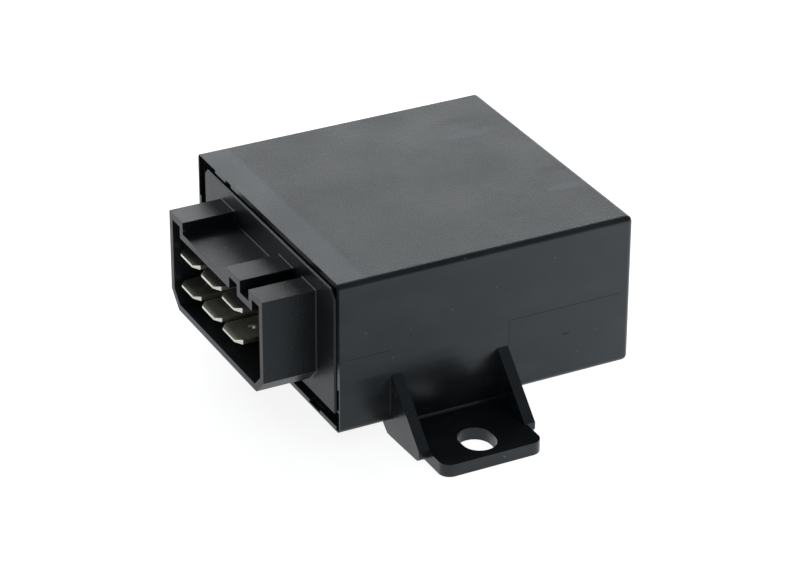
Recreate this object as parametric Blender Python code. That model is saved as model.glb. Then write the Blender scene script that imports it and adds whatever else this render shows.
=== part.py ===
"""A plug in timer relay.

The case is a rectangular moulding with a screw foot. A plug insert closes its open end and carries
six blade terminals, a circuit board, a hinged-armature relay and the timer's components.

Sizes are millimetres in the case's own frame: X from the plain side wall to the wall with the foot,
Y from the face of the plug's plate to the back, Z up. Its origin is a reference corner just inside the
case's lower front edge. One empty, case_frame, holds every piece and puts the middle of the bounding
box's base at the scene's origin.
"""

import math

import bmesh
import bpy
from mathutils import Matrix, Vector

MM = 0.001
FIT_GAP = 0.3  # between pieces that are assembled with play
TOUCH_GAP = 0.1  # between pieces that rest on each other
ROUND_SEGMENTS = 24
WIRE_SEGMENTS = 8

# Case and its screw foot
CASE_LOW = (-0.4, -0.15, -0.35)
CASE_HIGH = (50.4, 50.45, 25.1)
CASE_WALL = 1.3
CASE_EDGE_RADIUS = 1.0
MOUTH_WALL = 0.8  # the wall is thinner where the plug base's plate lies in it
MOUTH_DEPTH = 1.1
POCKET_WALL = 0.3
POCKET_DEPTH = 0.7
FOOT_CENTRE_Y = 18.6
FOOT_TIP_X = 64.8
FOOT_TOP_Z = -1.0
FOOT_BOTTOM_Z = -3.1
FOOT_HALF_WIDTH = 10.0
TAB_HALF_WIDTH = 8.55
FOOT_RAMP_X = 45.5
FOOT_UNDERSIDE_X = 48.9
FOOT_CORNER_RADIUS = 1.8
FOOT_FILLET = 0.5
GUSSET_THICKNESS = 1.8
GUSSET_TIP_X = 59.4
GUSSET_TIP_BOTTOM_Z = -2.75
GUSSET_TIP_RADIUS = 0.8
GUSSET_TOP_Z = 7.9
HOLE_CENTRE_X = 59.8
HOLE_CENTRE_Y = 18.3
HOLE_RADIUS = 2.75
HOLE_STRETCH = 0.7  # half the distance between the slot's two end centres

# Circuit board and the ribs that guide it
BOARD_LOW = (2.7, 3.6, 3.6)
BOARD_HIGH = (47.3, 47.0, 5.2)
BOARD_CORNER = 1.0
LEAD_END_Z = 2.6
RIB_ROOT = 0.3  # how far the ribs go into the wall
RIB_REACH = 3.2
RIB_THICKNESS = 1.2
RIB_START_Y = 15.5

# Plug insert
PLATE_LOW = (1.6, 2.0)
PLATE_HIGH = (48.4, 23.25)
PLATE_EDGE = 0.25
PLATE_CORNERS = (0.5, 0.5, 1.5, 0.8)  # bottom left, bottom right, top right, top left
PLATE_THICKNESS = 3.2
FLANGE_START_Y = 1.3
FLANGE_GAP = 0.35
SNAP_LENGTH = 3.4
SNAP_TOP_X = 6.5
SNAP_BOTTOM_X = 40.1
SNAP_HEIGHT = 0.2
CHEEK_LENGTH = 11.0
CHEEK_WIDTH = 2.9
CHEEK_HEIGHT = 6.4

# Connector shroud: the top wall steps up and down, and its inside follows it
SHROUD_LENGTH = 9.0
SHROUD_LEFT = 8.0
SHROUD_RIGHT = 42.3
SHROUD_FLOOR = 4.0
SHROUD_WALL = 1.15
SHROUD_CHAMFER = 2.7
SHROUD_HIGH = 20.6
SHROUD_LOW = 18.6
SHROUD_STEPS = (13.1, 29.3, 34.4, 37.5)  # X where the top goes down, up, down, up
SOCKET_FLOOR_Y = 0.3

# Blade terminals
BLADE_COLUMNS = (13.3, 21.1, 28.9)
SPARE_COLUMN = 36.7
BLADE_ROWS = (8.45, 14.0)
BLADE_WIDTH = 6.3
BLADE_THICKNESS = 0.8
BLADE_TIP_Y = -8.6
BLADE_CORNER = 1.0
BLADE_BEVEL_LENGTH = 0.9
BLADE_BEVEL_DEPTH = 0.22
LOCK_HOLE_RADIUS = 0.7
LOCK_HOLE_Y = -4.7
SHOULDER_WIDTH = 7.2
TAIL_WIDTH = 2.6
TAIL_BEND_RADIUS = 1.2
TAIL_DOWN_Y = (7.0, 11.6)  # where each row's tails turn down to the board

# Relay: heights follow from the board up
RELAY_X = 14.0
RELAY_BASE_LOW = (6.4, 13.8)
RELAY_BASE_HIGH = (21.6, 42.0)
RELAY_BASE_THICKNESS = 1.5
IRON_THICKNESS = 1.3
IRON_HALF_WIDTH = 5.0
HINGE_Y = 40.0
YOKE_FRONT_Y = 24.0
YOKE_TOP_Z = 17.4
CORE_Y = 30.5
CORE_RADIUS = 2.3
POLE_RADIUS = 4.0
POLE_THICKNESS = 1.0
FLANGE_HALF = 6.2
BOBBIN_FLANGE = 0.8
BOBBIN_TUBE_WALL = 0.7
WINDING_RADIUS = 5.7
COIL_PIN_HALF = 0.4
COIL_PIN_Y = 23.0
COIL_PIN_SPREAD = 5.0
COIL_PIN_TOP_Z = 12.0
ARMATURE_FRONT = -15.5  # from the hinge
ARMATURE_REST_DEG = -4.0
LEAF_THICKNESS = 0.25
LEAF_HALF_WIDTH = 2.4
CONTACT_FROM_HINGE = -19.0
CONTACT_RADIUS = 1.5
CONTACT_HEAD = 0.85
FIXED_ARM_THICKNESS = 0.6
FIXED_LEG_Y = 15.2

HINGE_Z = YOKE_TOP_Z + TOUCH_GAP
BOARD_TOP = BOARD_HIGH[2]
WALL_X = CASE_HIGH[0]  # the wall that carries the foot
FRAME_ORIGIN = ((CASE_LOW[0] + FOOT_TIP_X) / 2, (CASE_HIGH[1] - SHROUD_LENGTH) / 2, FOOT_BOTTOM_Z)


# ---------------------------------------------------------------- scene and materials


def clear_scene():
    for obj in list(bpy.data.objects):
        bpy.data.objects.remove(obj)


def new_empty(name, location, parent=None):
    empty = bpy.data.objects.new(name, None)
    bpy.context.scene.collection.objects.link(empty)
    empty.parent = parent
    empty.location = Vector(location) * MM
    return empty


def new_material(name, colour, roughness, metallic=0.0):
    material = bpy.data.materials.new(name)
    material.use_nodes = True
    shader = material.node_tree.nodes["Principled BSDF"]
    shader.inputs["Base Color"].default_value = (*colour, 1.0)
    shader.inputs["Roughness"].default_value = roughness
    shader.inputs["Metallic"].default_value = metallic
    material.diffuse_color = (*colour, 1.0)
    return material


# ---------------------------------------------------------------- meshes, in millimetres


def box_mesh(low, high):
    bm = bmesh.new()
    size = [b - a for a, b in zip(low, high)]
    centre = [(a + b) / 2 for a, b in zip(low, high)]
    bmesh.ops.create_cube(bm, size=1.0, matrix=Matrix.Translation(centre) @ Matrix.Diagonal((*size, 1)))
    return bm


def prism_mesh(outline, axis, start, end):
    """The outline's points are (Y, Z) for axis X, (X, Z) for axis Y and (X, Y) for axis Z."""
    bm = bmesh.new()
    number = "XYZ".index(axis)
    points = []
    for a, b in outline:
        point = [a, b]
        point.insert(number, start)
        points.append(bm.verts.new(point))
    face = bm.faces.new(points)
    grown = bmesh.ops.extrude_face_region(bm, geom=[face])["geom"]
    shift = Vector((0, 0, 0))
    shift[number] = end - start
    bmesh.ops.translate(bm, verts=[v for v in grown if isinstance(v, bmesh.types.BMVert)], vec=shift)
    bmesh.ops.recalc_face_normals(bm, faces=bm.faces)
    return bm


def turned_mesh(profile, segments=ROUND_SEGMENTS, closed=False):
    """A profile of (radius, height) points turned about Z. A closed one makes a ring."""
    bm = bmesh.new()
    points = [bm.verts.new((radius, 0, height)) for radius, height in profile]
    lines = [bm.edges.new(pair) for pair in zip(points, points[1:])]
    if closed:
        lines.append(bm.edges.new((points[-1], points[0])))
    bmesh.ops.spin(
        bm, geom=points + lines, cent=(0, 0, 0), axis=(0, 0, 1), angle=math.tau, steps=segments
    )
    bmesh.ops.remove_doubles(bm, verts=bm.verts, dist=1e-4)
    bmesh.ops.recalc_face_normals(bm, faces=bm.faces)
    return bm


def wire_mesh(points, radius, segments=WIRE_SEGMENTS):
    """A round wire with flat ends along a line of points."""
    curve = bpy.data.curves.new("wire", "CURVE")
    curve.dimensions = "3D"
    curve.bevel_depth = radius
    curve.bevel_resolution = segments // 2 - 2
    curve.use_fill_caps = True
    line = curve.splines.new("POLY")
    line.points.add(len(points) - 1)
    for point, position in zip(line.points, points):
        point.co = (*position, 1)
    carrier = bpy.data.objects.new("wire", curve)
    mesh = bpy.data.meshes.new_from_object(carrier)
    bm = bmesh.new()
    bm.from_mesh(mesh)
    bmesh.ops.remove_doubles(bm, verts=bm.verts, dist=1e-4)
    bmesh.ops.recalc_face_normals(bm, faces=bm.faces)
    bpy.data.objects.remove(carrier)
    bpy.data.curves.remove(curve)
    bpy.data.meshes.remove(mesh)
    return bm


def bevel_where(bm, chosen, width, segments):
    """Rounds the edges whose two end points satisfy the test."""
    edges = [edge for edge in bm.edges if chosen(edge.verts[0].co, edge.verts[1].co)]
    bmesh.ops.bevel(
        bm, geom=edges, offset=width, offset_type="OFFSET", segments=segments, profile=0.5,
        affect="EDGES", clamp_overlap=True,
    )


def arc(centre, radius, start_deg, end_deg, steps):
    angles = [math.radians(start_deg + (end_deg - start_deg) * i / steps) for i in range(steps + 1)]
    return [(centre[0] + radius * math.cos(a), centre[1] + radius * math.sin(a)) for a in angles]


def chamfered_rectangle(low, high, corners):
    """Corner sizes go round from bottom left: bottom left, bottom right, top right, top left."""
    (x0, y0), (x1, y1) = low, high
    a, b, c, d = corners
    return [
        (x0, y0 + a), (x0 + a, y0), (x1 - b, y0), (x1, y0 + b),
        (x1, y1 - c), (x1 - c, y1), (x0 + d, y1), (x0, y1 - d),
    ]


# ---------------------------------------------------------------- objects


def make(name, bm, material=None, parent=None, location=(0, 0, 0), rotation=(0, 0, 0)):
    bmesh.ops.scale(bm, vec=(MM, MM, MM), verts=bm.verts)
    mesh = bpy.data.meshes.new(name)
    bm.to_mesh(mesh)
    bm.free()
    mesh.shade_smooth()
    mesh.set_sharp_from_angle(angle=math.radians(35))
    obj = bpy.data.objects.new(name, mesh)
    bpy.context.scene.collection.objects.link(obj)
    obj.parent = parent
    obj.location = Vector(location) * MM
    obj.rotation_euler = rotation
    if material:
        mesh.materials.append(material)
    return obj


def combine(target, operation, other):
    """A Boolean between two objects. The other one is a helper and isn't part of the model."""
    modifier = target.modifiers.new(other.name, "BOOLEAN")
    modifier.operation = operation
    modifier.object = other
    other.hide_render = True
    other.display_type = "WIRE"


def helper(target, operation, label, bm, location=(0, 0, 0), rotation=(0, 0, 0)):
    other = make(f"{target.name}.{label}", bm, parent=target.parent, location=location, rotation=rotation)
    combine(target, operation, other)


# ---------------------------------------------------------------- case


def gusset_outline():
    tip = (GUSSET_TIP_X - GUSSET_TIP_RADIUS, GUSSET_TIP_BOTTOM_Z + GUSSET_TIP_RADIUS)
    return [
        (WALL_X - CASE_WALL / 2, GUSSET_TOP_Z),
        (WALL_X, GUSSET_TOP_Z),
        (GUSSET_TIP_X, FOOT_TOP_Z),
        *arc(tip, GUSSET_TIP_RADIUS, 0, -90, 4),
        (FOOT_UNDERSIDE_X + 1.5, FOOT_BOTTOM_Z),
        (FOOT_UNDERSIDE_X, FOOT_BOTTOM_Z),
        (FOOT_RAMP_X, CASE_LOW[2]),
        (FOOT_RAMP_X, CASE_LOW[2] + CASE_WALL / 2),
        (WALL_X - CASE_WALL / 2, CASE_LOW[2] + CASE_WALL / 2),
    ]


def web_outline():
    """The slab between the gussets, with a small fillet where it meets the case's wall."""
    corner = (WALL_X + FOOT_FILLET, FOOT_TOP_Z + FOOT_FILLET)
    return [
        (GUSSET_TIP_X - 1.0, FOOT_BOTTOM_Z),
        (GUSSET_TIP_X - 1.0, FOOT_TOP_Z),
        *arc(corner, FOOT_FILLET, 270, 180, 3),
        (WALL_X, 1.0),
        (WALL_X - CASE_WALL / 2, 1.0),
        (FOOT_RAMP_X, CASE_LOW[2] + CASE_WALL / 2),
        (FOOT_RAMP_X, CASE_LOW[2]),
        (FOOT_UNDERSIDE_X, FOOT_BOTTOM_Z),
    ]


def tab_outline():
    low, high = FOOT_CENTRE_Y - TAB_HALF_WIDTH, FOOT_CENTRE_Y + TAB_HALF_WIDTH
    inner_x = FOOT_TIP_X - FOOT_CORNER_RADIUS
    return [
        (GUSSET_TIP_X - 2.0, low),
        *arc((inner_x, low + FOOT_CORNER_RADIUS), FOOT_CORNER_RADIUS, -90, 0, 6),
        *arc((inner_x, high - FOOT_CORNER_RADIUS), FOOT_CORNER_RADIUS, 0, 90, 6),
        (GUSSET_TIP_X - 2.0, high),
    ]


def slot_outline():
    right = (HOLE_CENTRE_X + HOLE_STRETCH, HOLE_CENTRE_Y)
    left = (HOLE_CENTRE_X - HOLE_STRETCH, HOLE_CENTRE_Y)
    return arc(right, HOLE_RADIUS, -90, 90, 12) + arc(left, HOLE_RADIUS, 90, 270, 12)


def inside_case(distance, low_y=None, high_y=None):
    """The case's box drawn inwards by a distance, with its Y ends given or drawn inwards too."""
    low = [value + distance for value in CASE_LOW]
    high = [value - distance for value in CASE_HIGH]
    low[1] = low[1] if low_y is None else low_y
    high[1] = high[1] if high_y is None else high_y
    return low, high


def mouth_pockets():
    """Shallow recesses in the mouth for the insert's snaps, as (x low, x high, z low, z high)."""
    (left, _, bottom), (right, _, top) = inside_case(POCKET_WALL)
    return (
        (left, 6.2, top - 1.0, top), (10.1, 12.1, top - 1.0, top), (left, left + 1.0, 17.7, top),
        (39.8, 43.5, bottom, bottom + 1.0), (right - 1.0, right, 3.6, 7.2),
        (right - 1.0, right, bottom, 3.2),
    )


def build_case(frame, material):
    bm = box_mesh(CASE_LOW, CASE_HIGH)
    bevel_where(bm, lambda a, b: max(a.y, b.y) > 0, CASE_EDGE_RADIUS, 5)
    case = make("housing", bm, material, frame)

    outer = FOOT_HALF_WIDTH
    inner = FOOT_HALF_WIDTH - GUSSET_THICKNESS
    for label, start, end in (("gusset_front", -outer, -inner), ("gusset_back", inner, outer)):
        bm = prism_mesh(gusset_outline(), "Y", FOOT_CENTRE_Y + start, FOOT_CENTRE_Y + end)
        helper(case, "UNION", label, bm)
    bm = prism_mesh(web_outline(), "Y", FOOT_CENTRE_Y - inner - 0.5, FOOT_CENTRE_Y + inner + 0.5)
    helper(case, "UNION", "web", bm)
    helper(case, "UNION", "tab", prism_mesh(tab_outline(), "Z", FOOT_BOTTOM_Z, FOOT_TOP_Z))
    bm = prism_mesh(slot_outline(), "Z", FOOT_BOTTOM_Z - 1, FOOT_TOP_Z + 1)
    helper(case, "DIFFERENCE", "screw_slot", bm)

    helper(case, "DIFFERENCE", "cavity", box_mesh(*inside_case(CASE_WALL, low_y=-1)))
    helper(case, "DIFFERENCE", "mouth", box_mesh(*inside_case(MOUTH_WALL, low_y=-1, high_y=MOUTH_DEPTH)))
    for number, (x0, x1, z0, z1) in enumerate(mouth_pockets()):
        helper(case, "DIFFERENCE", f"pocket_{number}", box_mesh((x0, -1, z0), (x1, POCKET_DEPTH, z1)))

    (left, _, _), (right, back, _) = inside_case(CASE_WALL - RIB_ROOT)
    rib_heights = (BOARD_LOW[2] - FIT_GAP - RIB_THICKNESS, BOARD_TOP + FIT_GAP)
    for side, x in (("left", left), ("right", right - RIB_REACH)):
        for level, z in zip(("under", "over"), rib_heights):
            low = (x, RIB_START_Y, z)
            high = (x + RIB_REACH, back, z + RIB_THICKNESS)
            helper(case, "UNION", f"rib_{side}_{level}", box_mesh(low, high))


# ---------------------------------------------------------------- plug insert


def shroud_outline(inset):
    """The shroud's section in X and Z, drawn inwards by inset with its steps following."""
    left, right = SHROUD_LEFT + inset, SHROUD_RIGHT - inset
    floor, high, low = SHROUD_FLOOR + inset, SHROUD_HIGH - inset, SHROUD_LOW - inset
    down_1, up_1, down_2, up_2 = SHROUD_STEPS
    chamfer = SHROUD_CHAMFER - inset * (2 - math.sqrt(2))
    return [
        (left, floor + chamfer), (left + chamfer, floor),
        (right - chamfer, floor), (right, floor + chamfer),
        (right, high), (up_2 + inset, high), (up_2 + inset, low),
        (down_2 - inset, low), (down_2 - inset, high),
        (up_1 + inset, high), (up_1 + inset, low),
        (down_1 - inset, low), (down_1 - inset, high), (left, high),
    ]


def build_plug_base(frame, material):
    outline = chamfered_rectangle(PLATE_LOW, PLATE_HIGH, PLATE_CORNERS)
    bm = prism_mesh(outline, "Y", 0, PLATE_THICKNESS)
    bevel_where(bm, lambda a, b: max(a.y, b.y) < 0.01, PLATE_EDGE, 1)
    base = make("plug_base", bm, material, frame)

    low, high = inside_case(CASE_WALL + FLANGE_GAP, FLANGE_START_Y, PLATE_THICKNESS)
    helper(base, "UNION", "flange", box_mesh(low, high))

    snaps = (
        ("snap_top", SNAP_TOP_X, high[2] - 0.5),
        ("snap_bottom", SNAP_BOTTOM_X, low[2] - SNAP_HEIGHT),
    )
    for label, x, z in snaps:
        bm = box_mesh((x, 1.8, z), (x + SNAP_LENGTH, 2.8, z + 0.5 + SNAP_HEIGHT))
        helper(base, "UNION", label, bm)

    helper(base, "UNION", "shroud", prism_mesh(shroud_outline(0), "Y", -SHROUD_LENGTH, 1.0))
    bm = prism_mesh(shroud_outline(SHROUD_WALL), "Y", -SHROUD_LENGTH - 1, SOCKET_FLOOR_Y)
    helper(base, "DIFFERENCE", "socket", bm)

    half_x = BLADE_WIDTH / 2 + FIT_GAP
    half_z = BLADE_THICKNESS / 2 + FIT_GAP
    for row, z in enumerate(BLADE_ROWS):
        for column, x in enumerate((*BLADE_COLUMNS, SPARE_COLUMN)):
            depth = SOCKET_FLOOR_Y + 0.6 if x == SPARE_COLUMN else PLATE_THICKNESS + 1
            bm = box_mesh((x - half_x, -0.5, z - half_z), (x + half_x, depth, z + half_z))
            helper(base, "DIFFERENCE", f"slot_{row}{column}", bm)

    cheek_end = PLATE_THICKNESS + CHEEK_LENGTH
    groove = (BOARD_LOW[2] - FIT_GAP, BOARD_TOP + FIT_GAP)
    for side, x0 in (("left", low[0]), ("right", high[0] - CHEEK_WIDTH)):
        bm = box_mesh(
            (x0, PLATE_THICKNESS - 0.5, low[2]), (x0 + CHEEK_WIDTH, cheek_end, low[2] + CHEEK_HEIGHT)
        )
        helper(base, "UNION", f"cheek_{side}", bm)
    for side, x0, x1 in (
        ("left", BOARD_LOW[0] - FIT_GAP, BOARD_LOW[0] + 3),
        ("right", BOARD_HIGH[0] - 3, BOARD_HIGH[0] + FIT_GAP),
    ):
        bm = box_mesh((x0, PLATE_THICKNESS + 0.1, groove[0]), (x1, cheek_end + 1, groove[1]))
        helper(base, "DIFFERENCE", f"groove_{side}", bm)


def blade_side_outline(z, down_y):
    """Side view in Y and Z: a bevelled tip, a straight blade, a bend and a tail into the board."""
    half = BLADE_THICKNESS / 2
    tip = half - BLADE_BEVEL_DEPTH
    bevel_y = BLADE_TIP_Y + BLADE_BEVEL_LENGTH
    centre = (down_y + half - TAIL_BEND_RADIUS, z + half - TAIL_BEND_RADIUS)
    return [
        (BLADE_TIP_Y, z - tip), (BLADE_TIP_Y, z + tip), (bevel_y, z + half),
        *arc(centre, TAIL_BEND_RADIUS, 90, 0, 4),
        (down_y + half, LEAD_END_Z), (down_y - half, LEAD_END_Z),
        *arc(centre, TAIL_BEND_RADIUS - BLADE_THICKNESS, 0, 90, 4),
        (bevel_y, z - half),
    ]


def blade_plan_outline(down_y):
    """Plan view in X and Y, about the blade's middle."""
    half, neck, shoulder = BLADE_WIDTH / 2, TAIL_WIDTH / 2, SHOULDER_WIDTH / 2
    stop_y = PLATE_THICKNESS + TOUCH_GAP
    right = [
        (half - BLADE_CORNER, BLADE_TIP_Y), (half, BLADE_TIP_Y + BLADE_CORNER),
        (half, stop_y), (shoulder, stop_y), (shoulder, stop_y + 1.0),
        (neck, stop_y + 1.6), (neck, down_y + 1),
    ]
    return right + [(-x, y) for x, y in reversed(right)]


def build_terminals(frame, material):
    for row, (z, down_y) in enumerate(zip(BLADE_ROWS, TAIL_DOWN_Y)):
        for column, x in enumerate(BLADE_COLUMNS):
            name = f"blade_{('lower', 'upper')[row]}_{column + 1}"
            bm = prism_mesh(blade_side_outline(z, down_y), "X", -SHOULDER_WIDTH, SHOULDER_WIDTH)
            blade = make(name, bm, material, frame, location=(x, 0, 0))
            bm = prism_mesh(blade_plan_outline(down_y), "Z", LEAD_END_Z - 1, z + 2)
            helper(blade, "INTERSECT", "plan", bm, location=(x, 0, 0))
            bm = turned_mesh([(0, -1), (LOCK_HOLE_RADIUS, -1), (LOCK_HOLE_RADIUS, 1), (0, 1)], 16)
            helper(blade, "DIFFERENCE", "lock_hole", bm, location=(x, LOCK_HOLE_Y, z))


# ---------------------------------------------------------------- circuit board


def build_board(frame, material, round_leads, flat_leads):
    """Round holes for wire leads, and slots for the flat tails given as (x, y, half x, half y)."""
    (x0, y0, z0), (x1, y1, z1) = BOARD_LOW, BOARD_HIGH
    outline = chamfered_rectangle((x0, y0), (x1, y1), (BOARD_CORNER,) * 4)
    board = make("circuit_board", prism_mesh(outline, "Z", z0, z1), material, frame)

    cutters = bmesh.new()
    for x, y, radius in round_leads:
        hole = arc((x, y), radius + FIT_GAP, 0, 360 - 360 / WIRE_SEGMENTS, WIRE_SEGMENTS - 1)
        add_prism(cutters, hole, z0 - 1, z1 + 1)
    for x, y, half_x, half_y in flat_leads:
        a, b = half_x + FIT_GAP, half_y + FIT_GAP
        add_prism(cutters, [(x - a, y - b), (x + a, y - b), (x + a, y + b), (x - a, y + b)], z0 - 1, z1 + 1)
    helper(board, "DIFFERENCE", "lead_holes", cutters)


def add_prism(bm, outline, z0, z1):
    piece = prism_mesh(outline, "Z", z0, z1)
    mesh = bpy.data.meshes.new("piece")
    piece.to_mesh(mesh)
    piece.free()
    bm.from_mesh(mesh)
    bpy.data.meshes.remove(mesh)


# ---------------------------------------------------------------- relay


def build_relay_base(frame, material, flat_leads):
    bottom = BOARD_TOP + FIT_GAP
    low, high = (*RELAY_BASE_LOW, bottom), (*RELAY_BASE_HIGH, bottom + RELAY_BASE_THICKNESS)
    bm = box_mesh(low, high)
    bevel_where(bm, lambda a, b: abs(a.z - b.z) > 1, 0.8, 2)
    base = make("relay_base", bm, material, frame)
    for number, (x, y, half_x, half_y) in enumerate(flat_leads):
        a, b = half_x + FIT_GAP, half_y + FIT_GAP
        bm = box_mesh((x - a, y - b, low[2] - 1), (x + a, y + b, high[2] + 1))
        helper(base, "DIFFERENCE", f"slot_{number}", bm)
    return high[2]


def build_magnet(frame, base_top, iron, plastic, copper, tin):
    """Yoke, core, bobbin, winding and the two coil pins. The coil's axis is vertical."""
    foot_z = base_top + TOUCH_GAP
    foot_top = foot_z + IRON_THICKNESS
    x0, x1 = RELAY_X - IRON_HALF_WIDTH, RELAY_X + IRON_HALF_WIDTH
    side = [
        (YOKE_FRONT_Y, foot_z), (HINGE_Y, foot_z), (HINGE_Y, YOKE_TOP_Z),
        (HINGE_Y - IRON_THICKNESS, YOKE_TOP_Z), (HINGE_Y - IRON_THICKNESS, foot_top + 0.6),
        (HINGE_Y - IRON_THICKNESS - 0.6, foot_top), (YOKE_FRONT_Y, foot_top),
    ]
    yoke = make("yoke", prism_mesh(side, "X", x0, x1), iron, frame)
    bore = CORE_RADIUS + TOUCH_GAP
    bm = turned_mesh([(0, -4), (bore, -4), (bore, 4), (0, 4)])
    helper(yoke, "DIFFERENCE", "core_hole", bm, location=(RELAY_X, CORE_Y, foot_z))
    pin = box_mesh(
        (RELAY_X - 1.5, HINGE_Y - IRON_THICKNESS + 0.1, LEAD_END_Z),
        (RELAY_X + 1.5, HINGE_Y - 0.1, foot_top),
    )
    helper(yoke, "UNION", "pin", pin)

    pole_z = YOKE_TOP_Z - POLE_THICKNESS
    bm = turned_mesh([
        (0, foot_z), (CORE_RADIUS, foot_z), (CORE_RADIUS, pole_z),
        (POLE_RADIUS, pole_z), (POLE_RADIUS, YOKE_TOP_Z), (0, YOKE_TOP_Z),
    ])
    make("core", bm, iron, frame, location=(RELAY_X, CORE_Y, 0))

    bobbin_z = foot_top + TOUCH_GAP
    bobbin_top = pole_z - FIT_GAP
    tube_inner = CORE_RADIUS + TOUCH_GAP
    tube_outer = tube_inner + BOBBIN_TUBE_WALL
    bm = turned_mesh([
        (tube_inner, bobbin_z), (tube_outer, bobbin_z), (tube_outer, bobbin_top), (tube_inner, bobbin_top)
    ], closed=True)
    bobbin = make("coil_bobbin", bm, plastic, frame, location=(RELAY_X, CORE_Y, 0))
    block_y = COIL_PIN_Y - 1.2 - CORE_Y
    for label, z, front in (
        ("flange_bottom", bobbin_z, block_y), ("flange_top", bobbin_top - BOBBIN_FLANGE, -FLANGE_HALF)
    ):
        low, high = (-FLANGE_HALF, front, z), (FLANGE_HALF, FLANGE_HALF, z + BOBBIN_FLANGE)
        helper(bobbin, "UNION", label, box_mesh(low, high), location=(RELAY_X, CORE_Y, 0))
    bm = turned_mesh([(0, -1), (tube_inner, -1), (tube_inner, 30), (0, 30)])
    helper(bobbin, "DIFFERENCE", "core_bore", bm, location=(RELAY_X, CORE_Y, 0))

    pin_half = COIL_PIN_HALF
    for number, x in enumerate((RELAY_X - COIL_PIN_SPREAD, RELAY_X + COIL_PIN_SPREAD)):
        low = (x - pin_half, COIL_PIN_Y - pin_half, LEAD_END_Z)
        make(f"coil_pin_{number + 1}", box_mesh(low, (x + pin_half, COIL_PIN_Y + pin_half, COIL_PIN_TOP_Z)),
             tin, frame)
        gap = pin_half + TOUCH_GAP
        low, high = (x - gap, COIL_PIN_Y - gap, bobbin_z - 1), (x + gap, COIL_PIN_Y + gap, bobbin_z + 2)
        helper(bobbin, "DIFFERENCE", f"pin_hole_{number}", box_mesh(low, high))

    inner, outer = tube_outer + TOUCH_GAP, WINDING_RADIUS
    z0 = bobbin_z + BOBBIN_FLANGE + TOUCH_GAP
    z1 = bobbin_top - BOBBIN_FLANGE - TOUCH_GAP
    bm = turned_mesh([(inner, z0), (outer, z0), (outer, z1), (inner, z1)], 32, closed=True)
    make("coil_winding", bm, copper, frame, location=(RELAY_X, CORE_Y, 0))


def rivet_mesh(levels):
    """A contact rivet: each level is a radius and a height, from the bottom up."""
    return turned_mesh([(0, levels[0][1]), *levels, (0, levels[-1][1])], 20)


def build_armature(frame, iron, bronze, silver):
    """The moving pieces, on an empty at the hinge that holds them open at rest."""
    pivot = new_empty("armature_pivot", (RELAY_X, HINGE_Y, HINGE_Z), frame)
    pivot.rotation_euler.x = math.radians(ARMATURE_REST_DEG)
    half = IRON_HALF_WIDTH
    bm = box_mesh((-half, ARMATURE_FRONT, 0), (half, 1.0, IRON_THICKNESS))
    bevel_where(bm, lambda a, b: abs(a.z - b.z) > 1, 0.8, 2)
    make("armature", bm, iron, pivot)

    low = IRON_THICKNESS + TOUCH_GAP
    high = low + LEAF_THICKNESS
    bend = 1.0
    leg_y, leg_end = 0.75, -8.0
    centre = (1.4, high - bend)
    leaf = [
        (CONTACT_FROM_HINGE - 1.8, low), (centre[0], low),
        *arc(centre, bend - LEAF_THICKNESS, 90, 0, 4),
        (leg_y, -5.5), (leg_y, leg_end), (leg_y + LEAF_THICKNESS, leg_end),
        (leg_y + LEAF_THICKNESS, -5.5), *arc(centre, bend, 0, 90, 4), (CONTACT_FROM_HINGE - 1.8, high),
    ]
    spring = make("contact_spring", prism_mesh(leaf, "X", -LEAF_HALF_WIDTH, LEAF_HALF_WIDTH), bronze, pivot)
    rivet_hole = 0.6
    bm = turned_mesh([(0, -1), (rivet_hole, -1), (rivet_hole, 4), (0, 4)], 16)
    helper(spring, "DIFFERENCE", "rivet_hole", bm, location=(0, CONTACT_FROM_HINGE, 0))

    radius, shank, top = CONTACT_RADIUS, rivet_hole - TOUCH_GAP, high + TOUCH_GAP
    bm = rivet_mesh([
        (radius - 0.4, low - TOUCH_GAP - CONTACT_HEAD), (radius, low - TOUCH_GAP - CONTACT_HEAD + 0.4),
        (radius, low - TOUCH_GAP), (shank, low - TOUCH_GAP), (shank, top),
        (radius, top), (radius, top + CONTACT_HEAD - 0.4), (radius - 0.4, top + CONTACT_HEAD),
    ])
    make("moving_contact", bm, silver, pivot, location=(0, CONTACT_FROM_HINGE, 0))
    return low - TOUCH_GAP - CONTACT_HEAD, top + CONTACT_HEAD


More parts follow.
